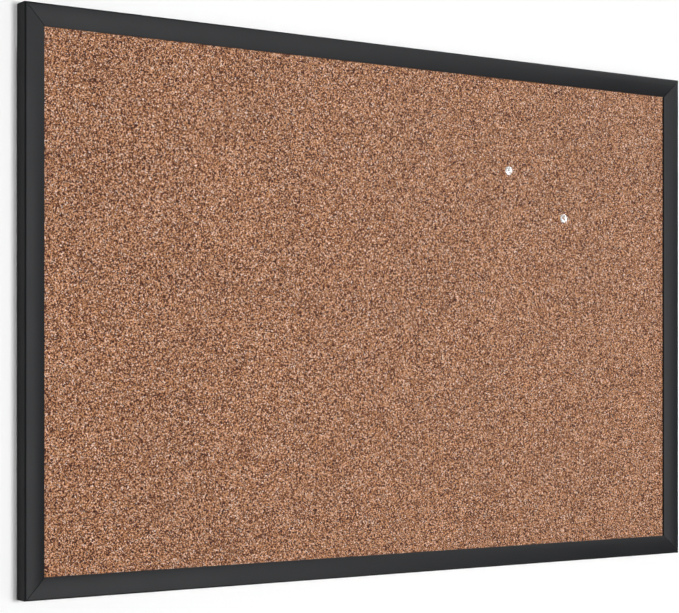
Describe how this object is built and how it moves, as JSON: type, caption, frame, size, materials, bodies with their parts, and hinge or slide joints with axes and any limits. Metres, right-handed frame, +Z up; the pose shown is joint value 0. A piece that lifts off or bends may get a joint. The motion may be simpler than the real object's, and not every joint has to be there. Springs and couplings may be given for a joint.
{
  "type": "cork bulletin board",
  "caption": "Landscape cork bulletin board in a mitred graphite frame, hung from hidden keyhole plates, with clear push pins in the cork.",
  "frame": {"origin": "midway between the round holes of the two hanger keyholes, on the plane of the hanger plates' rear faces", "axes": "+X to the reader's right along the long side, +Y from the reader to the wall, +Z up"},
  "size_m": [0.9144, 0.0217, 0.6096],
  "materials": {
    "frame_coating": "satin graphite powder coat on aluminium",
    "cork": "fine-grain agglomerated cork, matte",
    "core_fibre": "soft fibreboard, matte",
    "backing_kraft": "kraft board, matte",
    "key_nylon": "matte",
    "zinc_steel": "zinc plated, satin",
    "screw_steel": "zinc plated",
    "bumper_rubber": "matte",
    "clear_plastic": "clear, gloss",
    "needle_steel": "polished"
  },
  "bodies": {
    "board": {"backing_sheet": "backing_kraft", "bumper_left": "bumper_rubber", "bumper_right": "bumper_rubber", "core_board": "core_fibre", "cork_sheet": "cork", "corner_key_bottom_left": "key_nylon", "corner_key_bottom_right": "key_nylon", "corner_key_top_left": "key_nylon", "corner_key_top_right": "key_nylon", "corner_screws_bottom_left": "screw_steel", "corner_screws_bottom_right": "screw_steel", "hanger_plate_left": "zinc_steel", "hanger_plate_right": "zinc_steel", "hanger_screws_left": "screw_steel", "hanger_screws_right": "screw_steel", "rail_bottom": "frame_coating", "rail_left": "frame_coating", "rail_right": "frame_coating", "rail_top": "frame_coating"},
    "pushpin_1": {"pushpin_1_head": "clear_plastic", "pushpin_1_needle": "needle_steel"},
    "pushpin_2": {"pushpin_2_head": "clear_plastic", "pushpin_2_needle": "needle_steel"}
  },
  "joints": [
    {"name": "pushpin_1_pull", "type": "slide", "parent": "board", "child": "pushpin_1", "axis": [0, -1, 0], "range_m": [0, 0.012]},
    {"name": "pushpin_2_pull", "type": "slide", "parent": "board", "child": "pushpin_2", "axis": [0, -1, 0], "range_m": [0, 0.012]}
  ]
}
